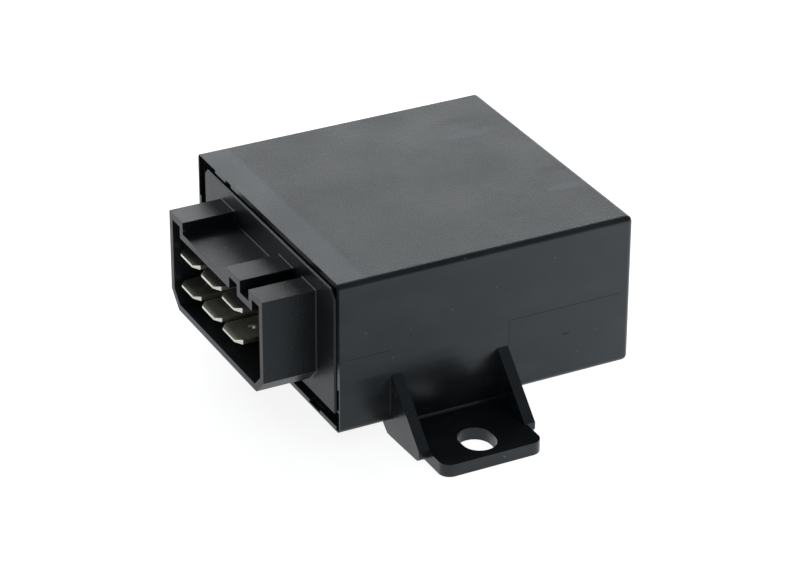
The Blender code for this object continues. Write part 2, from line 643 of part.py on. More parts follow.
def build_fixed_contacts(frame, closed_low, closed_high, brass, silver):
    """One contact below the moving one, which it closes on, and one above, which it rests against."""
    contact_y = HINGE_Y + CONTACT_FROM_HINGE
    lift = -CONTACT_FROM_HINGE * math.sin(math.radians(-ARMATURE_REST_DEG))
    lower_head = HINGE_Z + closed_low - TOUCH_GAP
    upper_head = HINGE_Z + closed_high + lift + TOUCH_GAP
    thick = FIXED_ARM_THICKNESS
    arms = (
        ("make_contact_arm", "make_contact", -5.0, 1.2, -5.0, lower_head - CONTACT_HEAD - TOUCH_GAP - thick,
         lower_head - CONTACT_HEAD),
        ("break_contact_arm", "break_contact", -1.6, 5.0, 1.8, upper_head + CONTACT_HEAD + TOUCH_GAP,
         upper_head),
    )
    leads = []
    for arm_name, head_name, x0, x1, leg_x, z, head_z in arms:
        bm = box_mesh((x0, FIXED_LEG_Y, z), (x1, contact_y + 2.0, z + thick))
        arm = make(arm_name, bm, brass, frame, location=(RELAY_X, 0, 0))
        low = (leg_x, FIXED_LEG_Y, LEAD_END_Z)
        high = (leg_x + 3.2, FIXED_LEG_Y + thick, z + thick)
        helper(arm, "UNION", "leg", box_mesh(low, high), location=(RELAY_X, 0, 0))
        radius = CONTACT_RADIUS + 0.1
        face = 0 if head_z > z else CONTACT_HEAD
        rim = CONTACT_HEAD - face
        levels = sorted(
            [(radius, head_z + rim), (radius - 0.4, head_z + face), (radius, head_z + CONTACT_HEAD / 2)],
            key=lambda level: level[1],
        )
        make(head_name, rivet_mesh(levels), silver, frame, location=(RELAY_X, contact_y, 0))
        leads.append((RELAY_X + leg_x + 1.6, FIXED_LEG_Y + thick / 2, 1.6, thick / 2))
    return leads


# ---------------------------------------------------------------- timer components


def build_axial(frame, name, material, middle, along, radius, length, pitch, wire=0.3, waist=0.0):
    """A resistor or diode that lies on the board with its two wires bent down through it."""
    height = BOARD_TOP + FIT_GAP + radius
    end = length / 2
    cap = radius - waist
    bm = turned_mesh([
        (0, -end), (radius * 0.7, -end), (radius, -end + radius * 0.3), (radius, -end + 1.3),
        (cap, -end + 1.7), (cap, end - 1.7), (radius, end - 1.3), (radius, end - radius * 0.3),
        (radius * 0.7, end), (0, end),
    ], 16)
    turn = (0, math.pi / 2, 0) if along == "X" else (math.pi / 2, 0, 0)
    body = make(name, bm, material, frame, location=(*middle, height), rotation=turn)
    reach, bend = pitch / 2, 0.9
    run = [
        (-reach, LEAD_END_Z - height), (-reach, -bend), (-reach + 0.3 * bend, -0.3 * bend),
        (-reach + bend, 0), (reach - bend, 0), (reach - 0.3 * bend, -0.3 * bend), (reach, -bend),
        (reach, LEAD_END_Z - height),
    ]
    points = [(a, 0, z) if along == "X" else (0, a, z) for a, z in run]
    helper(body, "UNION", "wires", wire_mesh(points, wire), location=(*middle, height))
    step = Vector((reach, 0)) if along == "X" else Vector((0, reach))
    return [(*(Vector(middle) + sign * step), wire) for sign in (-1, 1)]


def build_upright(frame, name, material, bm, middle, leads, lift=FIT_GAP, wire=0.3):
    """A component that stands on the board, its body made about (0, 0, 0) at its underside."""
    bottom = BOARD_TOP + lift
    body = make(name, bm, material, frame, location=(*middle, bottom))
    for number, (x, y) in enumerate(leads):
        points = [(x, y, LEAD_END_Z - bottom), (x, y, 0.8)]
        helper(body, "UNION", f"lead_{number}", wire_mesh(points, wire), location=(*middle, bottom))
    return [(middle[0] + x, middle[1] + y, wire) for x, y in leads]


def can_profile(radius, height):
    groove = 0.35
    return [
        (0, 0), (radius - 0.4, 0), (radius, 0.4), (radius, 1.6), (radius - groove, 2.0),
        (radius - groove, 2.3), (radius, 2.7), (radius, height - 0.5), (radius - 0.5, height), (0, height),
    ]


def build_timer_chip(frame, material, middle):
    length, width, height, stand = 9.6, 6.4, 3.3, 1.0
    bottom = BOARD_TOP + stand
    side = [
        (-width / 2, 1.7), (-width / 2 + 0.25, 0), (width / 2 - 0.25, 0),
        (width / 2, 1.7), (width / 2 - 0.25, height), (-width / 2 + 0.25, height),
    ]
    bm = prism_mesh(side, "X", -length / 2, length / 2)
    chip = make("timer_chip", bm, material, frame, location=(*middle, bottom))
    pitch, row, half, thick = 2.54, 3.81, 0.3, 0.3
    foot = LEAD_END_Z - bottom
    staple = [
        (-row - thick / 2, foot), (-row - thick / 2, 1.9), (row + thick / 2, 1.9), (row + thick / 2, foot),
        (row - thick / 2, foot), (row - thick / 2, 1.6), (-row + thick / 2, 1.6), (-row + thick / 2, foot),
    ]
    leads = []
    for number in range(4):
        x = (number - 1.5) * pitch
        bm = prism_mesh(staple, "X", x - half, x + half)
        helper(chip, "UNION", f"legs_{number}", bm, location=(*middle, bottom))
        leads += [(middle[0] + x, middle[1] + sign * row, half) for sign in (-1, 1)]
    return leads


def build_components(frame, paint):
    leads = []
    axial = (
        ("dropper_resistor", "ceramic_grey", (33.0, 16.0), "X", 2.0, 11.5, 15.2, 0.4, 0.0),
        ("timing_resistor", "resistor_tan", (34.0, 30.6), "X", 1.2, 6.3, 10.2, 0.3, 0.15),
        ("gate_resistor", "resistor_tan", (34.0, 33.4), "X", 1.2, 6.3, 10.2, 0.3, 0.15),
        ("supply_resistor", "resistor_tan", (34.0, 36.2), "X", 1.2, 6.3, 10.2, 0.3, 0.15),
        ("reverse_diode", "chip_black", (43.2, 19.6), "Y", 1.35, 5.2, 10.2, 0.4, 0.0),
        ("flyback_diode", "chip_black", (43.2, 32.2), "Y", 1.35, 5.2, 10.2, 0.4, 0.0),
    )
    for name, material, middle, along, radius, length, pitch, wire, waist in axial:
        leads += build_axial(frame, name, paint[material], middle, along, radius, length, pitch, wire, waist)

    leads += build_timer_chip(frame, paint["chip_black"], (35.0, 24.0))

    bm = turned_mesh(can_profile(4.0, 11.5), 32)
    leads += build_upright(
        frame, "reservoir_capacitor", paint["can_blue"], bm, (28.5, 42.3), ((-1.75, 0), (1.75, 0))
    )

    bm = box_mesh((-3.6, -1.75, 0), (3.6, 1.75, 7.0))
    bevel_where(bm, lambda a, b: max(a.z, b.z) > 0, 0.4, 2)
    leads += build_upright(
        frame, "film_capacitor", paint["film_red"], bm, (39.6, 42.4), ((-2.5, 0), (2.5, 0))
    )

    disc = [(0, -1.6), (3.4, -1.6), (4.0, -0.9), (4.0, 0.9), (3.4, 1.6), (0, 1.6)]
    bm = turned_mesh(disc)
    bmesh.ops.rotate(bm, cent=(0, 0, 0), matrix=Matrix.Rotation(math.pi / 2, 3, "Y"), verts=bm.verts)
    bmesh.ops.translate(bm, vec=(0, 0, 4.0), verts=bm.verts)
    leads += build_upright(
        frame, "surge_varistor", paint["varistor_blue"], bm, (25.6, 24.6), ((0, -2.5), (0, 2.5)), lift=0.8
    )

    flat = 1.2
    start = math.degrees(math.asin(flat / 2.3))
    bm = prism_mesh(arc((0, 0), 2.3, -start, 180 + start, 12), "Z", 0, 4.8)
    leads += build_upright(
        frame, "driver_transistor", paint["chip_black"], bm, (25.6, 33.6),
        ((-1.27, 0), (0, 0), (1.27, 0)), lift=1.8, wire=0.25,
    )
    return leads


# ---------------------------------------------------------------- whole part


def main():
    clear_scene()
    paint = {
        "case_plastic": new_material("case_plastic", (0.012, 0.013, 0.014), 0.42),
        "plug_plastic": new_material("plug_plastic", (0.014, 0.015, 0.016), 0.38),
        "tinned_brass": new_material("tinned_brass", (0.42, 0.41, 0.34), 0.35, 1.0),
        "board_laminate": new_material("board_laminate", (0.05, 0.16, 0.07), 0.45),
        "relay_plastic": new_material("relay_plastic", (0.02, 0.02, 0.022), 0.5),
        "bobbin_plastic": new_material("bobbin_plastic", (0.75, 0.72, 0.62), 0.5),
        "magnet_iron": new_material("magnet_iron", (0.52, 0.52, 0.5), 0.35, 1.0),
        "copper_wire": new_material("copper_wire", (0.62, 0.22, 0.09), 0.3, 1.0),
        "spring_bronze": new_material("spring_bronze", (0.6, 0.4, 0.22), 0.3, 1.0),
        "contact_silver": new_material("contact_silver", (0.8, 0.8, 0.78), 0.25, 1.0),
        "arm_brass": new_material("arm_brass", (0.66, 0.5, 0.24), 0.3, 1.0),
        "ceramic_grey": new_material("ceramic_grey", (0.32, 0.36, 0.34), 0.7),
        "resistor_tan": new_material("resistor_tan", (0.55, 0.4, 0.24), 0.4),
        "chip_black": new_material("chip_black", (0.02, 0.02, 0.02), 0.5),
        "can_blue": new_material("can_blue", (0.02, 0.03, 0.12), 0.3),
        "film_red": new_material("film_red", (0.4, 0.04, 0.03), 0.35),
        "varistor_blue": new_material("varistor_blue", (0.03, 0.12, 0.35), 0.35),
    }
    frame = new_empty("case_frame", [-value for value in FRAME_ORIGIN])

    build_case(frame, paint["case_plastic"])
    build_plug_base(frame, paint["plug_plastic"])
    build_terminals(frame, paint["tinned_brass"])

    closed_low, closed_high = build_armature(
        frame, paint["magnet_iron"], paint["spring_bronze"], paint["contact_silver"]
    )
    arm_leads = build_fixed_contacts(
        frame, closed_low, closed_high, paint["arm_brass"], paint["contact_silver"]
    )
    yoke_lead = (RELAY_X, HINGE_Y - IRON_THICKNESS / 2, 1.5, IRON_THICKNESS / 2)
    coil_leads = [
        (RELAY_X + sign * COIL_PIN_SPREAD, COIL_PIN_Y, COIL_PIN_HALF, COIL_PIN_HALF) for sign in (-1, 1)
    ]
    relay_leads = [*arm_leads, yoke_lead, *coil_leads]
    base_top = build_relay_base(frame, paint["relay_plastic"], relay_leads)
    build_magnet(
        frame, base_top, paint["magnet_iron"], paint["bobbin_plastic"], paint["copper_wire"],
        paint["tinned_brass"],
    )

    component_leads = build_components(frame, paint)
    tails = [
        (x, down_y, TAIL_WIDTH / 2, BLADE_THICKNESS / 2) for down_y in TAIL_DOWN_Y for x in BLADE_COLUMNS
    ]
    build_board(frame, paint["board_laminate"], component_leads, [*relay_leads, *tails])


main()
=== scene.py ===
"""The looks of a plug in timer relay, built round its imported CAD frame.

Sizes are millimetres in the case's own frame: X from the plain side wall to the wall with the foot,
Y from the face of the plug's plate to the back, Z up. Its origin lies under half a millimetre inside the
case's lower front corner, on the plain side. at() turns a point of that frame into metres in the row
frame, and on_axis() does the same for one coordinate.
"""

import math

import bmesh
import bpy
from mathutils import Matrix, Vector


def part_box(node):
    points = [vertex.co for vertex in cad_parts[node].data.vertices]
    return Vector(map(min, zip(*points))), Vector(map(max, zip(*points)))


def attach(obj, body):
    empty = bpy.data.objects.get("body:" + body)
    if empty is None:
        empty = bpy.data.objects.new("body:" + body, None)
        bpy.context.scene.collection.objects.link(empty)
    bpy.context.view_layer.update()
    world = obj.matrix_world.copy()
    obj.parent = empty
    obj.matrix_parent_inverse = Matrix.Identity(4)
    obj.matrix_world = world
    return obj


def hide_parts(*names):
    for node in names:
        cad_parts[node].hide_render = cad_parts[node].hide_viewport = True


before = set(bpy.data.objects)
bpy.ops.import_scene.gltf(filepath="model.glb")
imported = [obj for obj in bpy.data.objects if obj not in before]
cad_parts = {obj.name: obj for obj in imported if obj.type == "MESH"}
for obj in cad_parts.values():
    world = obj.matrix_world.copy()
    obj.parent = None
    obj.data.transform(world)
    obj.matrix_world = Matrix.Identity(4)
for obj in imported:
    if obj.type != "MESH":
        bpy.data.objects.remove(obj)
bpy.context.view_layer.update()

MM = 0.001

# The case without its foot
CASE_LOW = Vector((-0.4, -0.15, -0.35))
CASE_HIGH = Vector((50.4, 50.45, 25.1))
housing_low, housing_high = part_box("housing")
ORIGIN = Vector((
    housing_low.x - CASE_LOW.x * MM, housing_high.y - CASE_HIGH.y * MM, housing_high.z - CASE_HIGH.z * MM,
))

# Camera: a long lens that looks down at the corner between the plug and the foot
CAMERA_AZIMUTH = math.radians(62.634)
CAMERA_ELEVATION = math.radians(28.295)
CAMERA_ROLL = math.radians(0.2233)
CAMERA_DISTANCE = 530.79
CAMERA_ACROSS = 32.0
CAMERA_RISE = 0.97
SENSOR_WIDTH = 36.0
LENS = 146.42

# Studio, in metres: the floor is a white light table that leaves hardly any shadow
FLOOR_HALF = 3.0
FLOOR_GLOW = (0.80, 1.12)  # its strength in front of the object and behind it
FLOOR_GLOW_Y = (-0.03, 0.05)  # where the one ends and the other begins
WHITE, DIM_SKY = (1.0, 1.0, 1.0), (0.30, 0.31, 0.32)

# Places of the parts inside
BOARD_BOTTOM_Z, BOARD_TOP_Z = 3.6, 5.2
THREAD_PITCH = 0.5  # of the board's glass cloth
RELAY_X, CORE_Y, HINGE_Y, HINGE_Z, REST_ANGLE = 14.0, 30.5, 40.0, 17.5, -4.0
WINDING_LOW_Z, WINDING_HIGH_Z, WINDING_RADIUS = 9.4, 15.2, 5.7
COIL_PIN_REACH, COIL_PIN_Y = 5.0, 23.0  # X from the relay's middle, and Y
BLADE_X, BLADE_PITCH, BLADE_COUNT = 13.3, 7.8, 3
CAPACITOR = (28.5, 42.3, 4.0)  # X, Y and radius
CHIP_X, CHIP_Y, CHIP_HALF, CHIP_TOP_Z = 35.0, 24.0, 3.22, 9.5
PIN_PITCH = 2.54
RESISTOR_X, RESISTOR_YS, RESISTOR_HALF = 34.0, (30.6, 33.4, 36.2), 3.15
DIODE_X, DIODE_YS, DIODE_HALF = 43.2, (19.6, 32.2), 2.62
DIODE_BANDS = (17.9, 33.9)  # Y of the two diodes' bands
AXIAL_REACH = 5.1  # from a resistor's or a diode's middle to its leads
DROPPER_X, DROPPER_Y, DROPPER_HALF, DROPPER_REACH = 33.0, 16.0, 5.76, 7.6

# The shroud's outline in X and Z
SHROUD = (
    (8.0, 6.7), (10.7, 4.0), (39.6, 4.0), (42.3, 6.7), (42.3, 20.6), (37.5, 20.6), (37.5, 18.6),
    (34.4, 18.6), (34.4, 20.6), (29.3, 20.6), (29.3, 18.6), (13.1, 18.6), (13.1, 20.6), (8.0, 20.6),
)

# The case's top: where its front strip of painted sheen ends, then two sink marks' painted light (pale
# smears in its colour) and painted shade (dull patches in its shine), each with its middle in X and Y, its
# half sizes and, for a smear, its strength
SHEEN_STRIP_Y = 4.6
# painted light: the pale sides of two sink marks
SINK_MARK_LIGHT = ((13.0, 42.0, 1.3, 5.5, 0.45), (36.5, 47.0, 1.2, 4.0, 0.60))
# painted shade: the dark sides of the same sink marks, as duller shine
SINK_MARK_SHADE = ((8.0, 41.5, 1.6, 5.0), (30.5, 47.5, 1.5, 4.0))
SHINE_SHADE_LENGTH = 50  # from the walls' front, over which their shine rises; the duller front is painted shade
PLASTIC_TINT = (0.84, 0.94, 1.0, 1.0)


def at(x, y, z):
    return ORIGIN + Vector((x, y, z)) * MM


def on_axis(axis, value):
    return ORIGIN["XYZ".index(axis)] + value * MM


# ---------------------------------------------------------------- camera, light and floor


def make_camera():
    azimuth, elevation = CAMERA_AZIMUTH, CAMERA_ELEVATION
    across = Vector((math.cos(azimuth), math.sin(azimuth), 0))
    back = Vector((
        math.sin(azimuth) * math.cos(elevation),
        -math.cos(azimuth) * math.cos(elevation),
        math.sin(elevation),
    ))
    rise = back.cross(across)
    right = math.cos(CAMERA_ROLL) * across + math.sin(CAMERA_ROLL) * rise
    up = math.cos(CAMERA_ROLL) * rise - math.sin(CAMERA_ROLL) * across
    data = bpy.data.cameras.new("camera")
    data.sensor_width = SENSOR_WIDTH
    data.lens = LENS
    data.clip_start, data.clip_end = 0.01, 20
    camera = bpy.data.objects.new("camera", data)
    bpy.context.scene.collection.objects.link(camera)
    place = at(*(CAMERA_ACROSS * right + CAMERA_RISE * up + CAMERA_DISTANCE * back))
    turn = Matrix((right, up, back)).transposed()
    camera.matrix_world = Matrix.Translation(place) @ turn.to_4x4()
    bpy.context.scene.camera = camera


def area_light(name, direction, distance, size, radiance):
    """A rectangle that faces the case's middle, with a given brightness. Lengths are in metres."""
    direction = Vector(direction).normalized()
    data = bpy.data.lights.new(name, "AREA")
    data.shape = "RECTANGLE"
    data.size, data.size_y = size
    data.energy = radiance * math.pi * size[0] * size[1]
    light = bpy.data.objects.new(name, data)
    bpy.context.scene.collection.objects.link(light)
    light.location = at(*(CASE_LOW + CASE_HIGH) / 2) + direction * distance
    light.rotation_euler = direction.to_track_quat("Z", "Y").to_euler()


def make_studio():
    """A light table under the object, a bright horizon, a dim sky and two soft panels."""
    bpy.context.scene.view_settings.view_transform = "Standard"
    world = bpy.data.worlds.new("studio")
    bpy.context.scene.world = world
    world.use_nodes = True
    tree = world.node_tree
    direction = tree.nodes.new("ShaderNodeSeparateXYZ")
    tree.links.new(tree.nodes.new("ShaderNodeTexCoord").outputs["Generated"], direction.inputs["Vector"])
    sky = ramp(tree, direction.outputs["Z"], (0.0, WHITE), (0.10, WHITE), (0.35, DIM_SKY))
    tree.links.new(sky, tree.nodes["Background"].inputs["Color"])
    area_light("back_panel", (-0.78, 0.41, 0.38), distance=0.9, size=(1.1, 0.42), radiance=2.7)
    area_light("left_panel", (-0.86, -0.38, 0.40), distance=0.9, size=(0.35, 0.4), radiance=3.2)
    make_floor()


def make_floor():
    bm = bmesh.new()
    bmesh.ops.create_grid(bm, x_segments=8, y_segments=8, size=FLOOR_HALF)
    mesh = bpy.data.meshes.new("floor")
    bm.to_mesh(mesh)
    bm.free()
    floor = bpy.data.objects.new("floor", mesh)
    bpy.context.scene.collection.objects.link(floor)
    material, tree, shader = new_material("studio_floor", roughness=0.9, specular=0.1)
    shade = ramp(tree, noise(tree, 6.0, 2), (0.3, (0.52, 0.52, 0.52)), (0.7, (0.56, 0.56, 0.56)))
    tree.links.new(shade, shader.inputs["Base Color"])
    glow = span(tree, position(tree, "Y"), *FLOOR_GLOW, *FLOOR_GLOW_Y)
    shader.inputs["Emission Color"].default_value = (1, 1, 1, 1)
    tree.links.new(glow, shader.inputs["Emission Strength"])
    mesh.materials.append(material)


# ---------------------------------------------------------------- material nodes


def new_material(name, roughness=0.5, metallic=0.0, specular=0.5, tint=(1, 1, 1, 1), coat=0.0):
    material = bpy.data.materials.new(name)
    material.use_nodes = True
    tree = material.node_tree
    shader = tree.nodes["Principled BSDF"]
    shader.inputs["Roughness"].default_value = roughness
    shader.inputs["Metallic"].default_value = metallic
    shader.inputs["Specular IOR Level"].default_value = specular
    shader.inputs["Specular Tint"].default_value = tint
    shader.inputs["Coat Weight"].default_value = coat
    return material, tree, shader


def split(tree, vector):
    node = tree.nodes.new("ShaderNodeSeparateXYZ")
    tree.links.new(vector, node.inputs["Vector"])
    return node.outputs


def coordinates(tree):
    return tree.nodes.new("ShaderNodeTexCoord").outputs["Object"]


def position(tree, axis):
    return split(tree, coordinates(tree))[axis]


def facing(tree, axis):
    """How far a surface faces along an axis, from -1 to 1."""
    return split(tree, tree.nodes.new("ShaderNodeNewGeometry").outputs["Normal"])[axis]


def noise(tree, scale, detail=2.0, stretch=(1, 1, 1)):
    mapping = tree.nodes.new("ShaderNodeMapping")
    mapping.inputs["Scale"].default_value = stretch
    tree.links.new(coordinates(tree), mapping.inputs["Vector"])
    texture = tree.nodes.new("ShaderNodeTexNoise")
    texture.inputs["Scale"].default_value = scale
    texture.inputs["Detail"].default_value = detail
    tree.links.new(mapping.outputs["Vector"], texture.inputs["Vector"])
    return texture.outputs["Fac"]


def ramp(tree, factor, *stops, steps=False):
    node = tree.nodes.new("ShaderNodeValToRGB")
    node.color_ramp.interpolation = "CONSTANT" if steps else "LINEAR"
    elements = node.color_ramp.elements
    while len(elements) < len(stops):
        elements.new(0.5)
    for element, (place, colour) in zip(elements, stops):
        element.position = place
        element.color = (*colour, 1)
    tree.links.new(factor, node.inputs["Fac"])
    return node.outputs["Color"]


def span(tree, factor, low, high, start=0.3, end=0.7):
    """Maps start..end of the factor to low..high."""
    node = tree.nodes.new("ShaderNodeMapRange")
    for name, value in (("From Min", start), ("From Max", end), ("To Min", low), ("To Max", high)):
        node.inputs[name].default_value = value
    tree.links.new(factor, node.inputs["Value"])
    return node.outputs["Result"]


def maths(tree, operation, a, b):
    node = tree.nodes.new("ShaderNodeMath")
    node.operation = operation
    for socket, value in zip(node.inputs, (a, b)):
        if isinstance(value, (int, float)):
            socket.default_value = value
        else:
            tree.links.new(value, socket)
    return node.outputs["Value"]


def absolute(tree, value):
    return maths(tree, "ABSOLUTE", value, 0)


def inverse(tree, factor):
    return maths(tree, "SUBTRACT", 1.0, factor)


def blend(tree, factor, a, b):
    """a where the factor is 0, b where it is 1, for two colours or two numbers."""
    node = tree.nodes.new("ShaderNodeMix")
    number = isinstance(b, (int, float))
    node.data_type = "FLOAT" if number else "RGBA"
    first = 2 if number else 6
    for socket, value in ((node.inputs[0], factor), (node.inputs[first], a), (node.inputs[first + 1], b)):
        if isinstance(value, (int, float)):
            socket.default_value = value
        elif isinstance(value, tuple):
            socket.default_value = (*value, 1)
        else:
            tree.links.new(value, socket)
    return node.outputs[0 if number else 2]


def bump(tree, height, distance, under=None):
    """A relief whose height is the factor times the distance, in millimetres."""
    node = tree.nodes.new("ShaderNodeBump")
    node.inputs["Strength"].default_value = 1.0
    node.inputs["Distance"].default_value = distance * MM
    tree.links.new(height, node.inputs["Height"])
    if under is not None:
        tree.links.new(under, node.inputs["Normal"])
    return node.outputs["Normal"]


def connect(tree, shader, colour=None, roughness=None, normal=None, metallic=None):
    sockets = (("Base Color", colour), ("Roughness", roughness), ("Normal", normal), ("Metallic", metallic))
    for name, value in sockets:
        if value is not None:
            tree.links.new(value, shader.inputs[name])


def shades(colour, spread):
    """A darker and a lighter shade of one colour, for the ends of a ramp."""
    ends = ((0.3, 1 - spread), (0.7, 1 + spread))
    return [(place, tuple(value * factor for value in colour)) for place, factor in ends]


def mottled(tree, colour, spread, scale, detail=3):
    """A colour that wanders a little lighter and darker."""
    return ramp(tree, noise(tree, scale, detail), *shades(colour, spread))


def uneven(tree, low, high, scale, detail=2):
    """A number that wanders between two values."""
    return span(tree, noise(tree, scale, detail), low, high)


def beyond(tree, axis, middle, reach, soft=0.05):
    """1 further than reach from the middle along an axis of the case's frame, 0 nearer, in millimetres."""
    away = absolute(tree, maths(tree, "SUBTRACT", position(tree, axis), on_axis(axis, middle)))
    return span(tree, away, 0, 1, (reach - soft) * MM, (reach + soft) * MM)


def past(tree, axis, value, soft=0.04):
    """0 below a place along an axis of the case's frame and 1 above it, in millimetres."""
    return span(tree, position(tree, axis), 0, 1, on_axis(axis, value - soft), on_axis(axis, value + soft))


def below(tree, z):
    return inverse(tree, past(tree, "Z", z))


# ---------------------------------------------------------------- materials


def painted_patch(tree, x, y, half_x, half_y):
    """1 in the middle of a soft patch of the top, 0 outside it, with a ragged edge: the shape of the patches
    of painted light and painted shade on the sink marks.
    """
    squares = []
    for axis, middle, half in (("X", x, half_x), ("Y", y, half_y)):
        away = maths(tree, "SUBTRACT", position(tree, axis), on_axis(axis, middle))
        share = absolute(tree, maths(tree, "DIVIDE", away, half * MM))
        squares.append(maths(tree, "POWER", share, 2))
    ragged = maths(tree, "ADD", maths(tree, "ADD", *squares), uneven(tree, -0.4, 0.4, 500, 3))
    return span(tree, ragged, 1, 0, 0.0, 1.2)


def case_top_colour(tree):
    """Black under grey specks, with painted sheen on the front strip and painted light on the pale sides of
    the sink marks.
    """
    speck = span(tree, noise(tree, 3900, 2), 0.0, 1.0, 0.44, 0.70)
    # painted sheen: the paler front strip stands in for a reflection
    strip = inverse(tree, past(tree, "Y", SHEEN_STRIP_Y, 0.5))
    parts = [(speck, 0.72), (strip, 0.62)]
    # painted light: the sink marks' pale sides
    parts += [(painted_patch(tree, *patch), strength) for *patch, strength in SINK_MARK_LIGHT]
    shade = uneven(tree, 0.05, 0.20, 420, 3)
    for part, weight in parts:
        shade = maths(tree, "ADD", shade, maths(tree, "MULTIPLY", part, weight))
    return ramp(tree, shade, (0.0, (0, 0, 0)), (1.0, (0.056, 0.070, 0.079)))


def case_wall_colour(tree):
    """Black with faint streaks along Y and a few pale specks."""
    black = mottled(tree, (0.0042, 0.0058, 0.0072), 0.18, 420)
    streaks = span(tree, noise(tree, 260, 4, (1, 0.35, 1)), 0.0, 1.0, 0.45, 0.75)
    black = blend(tree, streaks, black, (0.013, 0.014, 0.015))
    speck = span(tree, noise(tree, 1300, 0), 0, 1, 0.85, 0.89)
    return blend(tree, speck, black, (0.06, 0.06, 0.06))


def case_plastic():
    """Black glass-filled nylon: a matt grain on the top, satin drawn walls with painted shade as shine that
    is lower towards the front, and painted shade as duller shine on the top's sink marks.
    """
    material, tree, shader = new_material("case_plastic", specular=0.46, tint=PLASTIC_TINT)
    flat = span(tree, facing(tree, "Z"), 0, 1, 0.9, 0.99)
    top = maths(tree, "MULTIPLY", flat, past(tree, "Z", 20.0, 2.0))
    foot = maths(tree, "SUBTRACT", flat, top)
    colour = blend(tree, top, case_wall_colour(tree), case_top_colour(tree))

    rough = blend(tree, top, uneven(tree, 0.19, 0.27, 60), uneven(tree, 0.46, 0.52, 70))
    rough = blend(tree, foot, rough, uneven(tree, 0.40, 0.52, 300))

    drawn = maths(tree, "MULTIPLY", noise(tree, 700, 2, (1, 0.12, 1)), 0.45)
    normal = bump(tree, blend(tree, top, drawn, noise(tree, 4200, 1)), 0.05)
    normal = bump(tree, noise(tree, 130, 1), 0.035, normal)

    # painted shade: the sink marks' dark sides, as duller shine on the top
    sink_shade = maths(tree, "MAXIMUM", *[painted_patch(tree, *patch) for patch in SINK_MARK_SHADE])
    # painted shade: the walls' shine falls towards their front
    ends = on_axis("Y", CASE_LOW.y), on_axis("Y", CASE_LOW.y + SHINE_SHADE_LENGTH)
    front_shade_shine = span(tree, position(tree, "Y"), 0.38, 0.50, *ends)
    shine = blend(tree, top, front_shade_shine, span(tree, sink_shade, 0.46, 0.34, 0, 1))
    tree.links.new(shine, shader.inputs["Specular IOR Level"])
    connect(tree, shader, colour, rough, normal)
    return material


def plug_plastic():
    """The same nylon, moulded smoother, with a few pale specks."""
    material, tree, shader = new_material("plug_plastic", specular=0.33, tint=PLASTIC_TINT)
    black = mottled(tree, (0.0040, 0.0052, 0.0064), 0.18, 300)
    speck = span(tree, noise(tree, 1500, 0), 0, 1, 0.83, 0.88)
    rough = uneven(tree, 0.35, 0.42, 90)
    normal = bump(tree, noise(tree, 2600, 2), 0.035)
    normal = bump(tree, noise(tree, 300, 3), 0.012, normal)
    connect(tree, shader, blend(tree, speck, black, (0.05, 0.05, 0.05)), rough, normal)
    return material


def moulded(name, colour, rough, grain=0.012, coat=0.0):
    """A moulded or dipped plastic with faint mottling."""
    material, tree, shader = new_material(name, coat=coat)
    normal = bump(tree, noise(tree, 1500, 2), grain)
    colour = mottled(tree, colour, 0.10, 350)
    connect(tree, shader, colour, uneven(tree, rough - 0.05, rough + 0.05, 200), normal)
    return material


def metal(name, colour, rough, grain_axis="Y", grain=0.0015):
    """A rolled or drawn metal whose fine lines run along an axis."""
    material, tree, shader = new_material(name, metallic=1.0)
    stretch = [1.0, 1.0, 1.0]
    stretch["XYZ".index(grain_axis)] = 0.06
    lines = noise(tree, 1600, 2, stretch)
    colour = mottled(tree, colour, 0.07, 260, 2)
    connect(tree, shader, colour, span(tree, lines, rough - 0.03, rough + 0.04), bump(tree, lines, grain))
    return material


def leaded(name, colour, rough, is_lead, coat=0.0, grain=0.012):
    """A component's body, with tinned leads where is_lead(tree) is 1. colour is a colour or a function."""
    material, tree, shader = new_material(name, coat=coat)
    lead = is_lead(tree)
    body = colour(tree) if callable(colour) else mottled(tree, colour, 0.12, 500)
    tin = mottled(tree, (0.70, 0.70, 0.68), 0.08, 500, 2)
    body_rough = uneven(tree, rough - 0.05, rough + 0.05, 220)
    normal = bump(tree, noise(tree, 1800, 2), grain)
    connect(tree, shader, blend(tree, lead, body, tin), blend(tree, lead, body_rough, 0.3), normal, lead)
    return material


def board_green():
    """Green lacquer over glass cloth, with the pale cut edge of the laminate."""
    material, tree, shader = new_material("board_laminate")
    flat = span(tree, absolute(tree, facing(tree, "Z")), 0, 1, 0.5, 0.9)
    threads = []
    for axis in ("X", "Y"):
        turns = maths(tree, "MULTIPLY", position(tree, axis), math.tau / (THREAD_PITCH * MM))
        threads.append(maths(tree, "SINE", turns, 0))
    weave = maths(tree, "MULTIPLY", *threads)
    cloth = maths(tree, "ADD", maths(tree, "MULTIPLY", weave, 0.12), noise(tree, 240, 3))
    lacquer = ramp(tree, cloth, *shades((0.016, 0.105, 0.040), 0.22))
    edge = ramp(tree, noise(tree, 900, 2, (1, 1, 4)), *shades((0.30, 0.31, 0.14), 0.15))
    rough = span(tree, flat, 0.7, 0.28, 0, 1)
    connect(tree, shader, blend(tree, flat, edge, lacquer), rough, bump(tree, weave, 0.004))
    return material


def banded(middle, half_length, body, rings):
    """A resistor's lacquer with colour rings, given as (place from 0 to 1, width, colour)."""
    def colour(tree):
        ends = on_axis("X", middle - half_length), on_axis("X", middle + half_length)
        along = span(tree, position(tree, "X"), 0, 1, *ends)
        stops = [(0.0, body)]
        for place, width, ring in rings:
            stops += [(place, ring), (place + width, body)]
        return ramp(tree, along, *stops, steps=True)
    return colour


